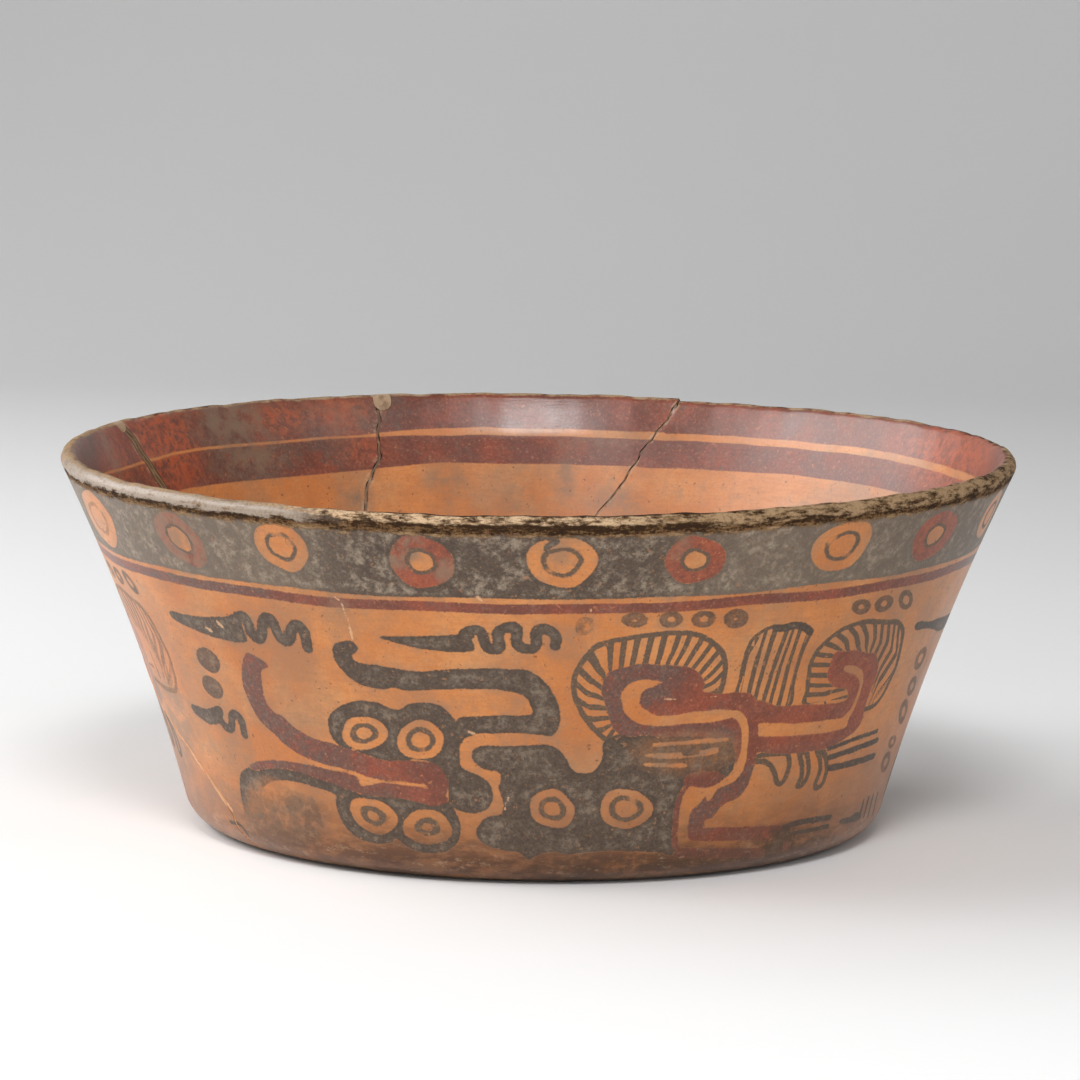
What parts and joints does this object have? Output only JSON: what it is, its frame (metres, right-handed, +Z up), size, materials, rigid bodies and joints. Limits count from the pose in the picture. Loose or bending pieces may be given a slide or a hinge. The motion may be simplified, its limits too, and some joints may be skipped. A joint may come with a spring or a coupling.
{
  "type": "pottery bowl",
  "caption": "Hand-built flaring earthenware bowl with a flat base and round lip, painted in coloured slips, broken and mended with glue and putty.",
  "frame": {"origin": "the middle of the flat underside", "axes": "+Z up through the mouth; -Y faces the front of the bowl as it is pictured"},
  "size_m": [0.26, 0.26, 0.1052],
  "materials": {
    "slip_painted_clay": "satin",
    "restorers_glue": "matte",
    "putty": "matte"
  },
  "bodies": {
    "root": {"main_sherd": "slip_painted_clay", "left_sherd": "slip_painted_clay", "back_left_sherd": "slip_painted_clay", "back_sherd": "slip_painted_clay", "glue_left_upper": "restorers_glue", "glue_left_lower": "restorers_glue", "glue_back_left": "restorers_glue", "glue_back_right": "restorers_glue", "glue_front_left": "restorers_glue", "putty_rim_left": "putty", "putty_rim_back": "putty"}
  },
  "joints": []
}
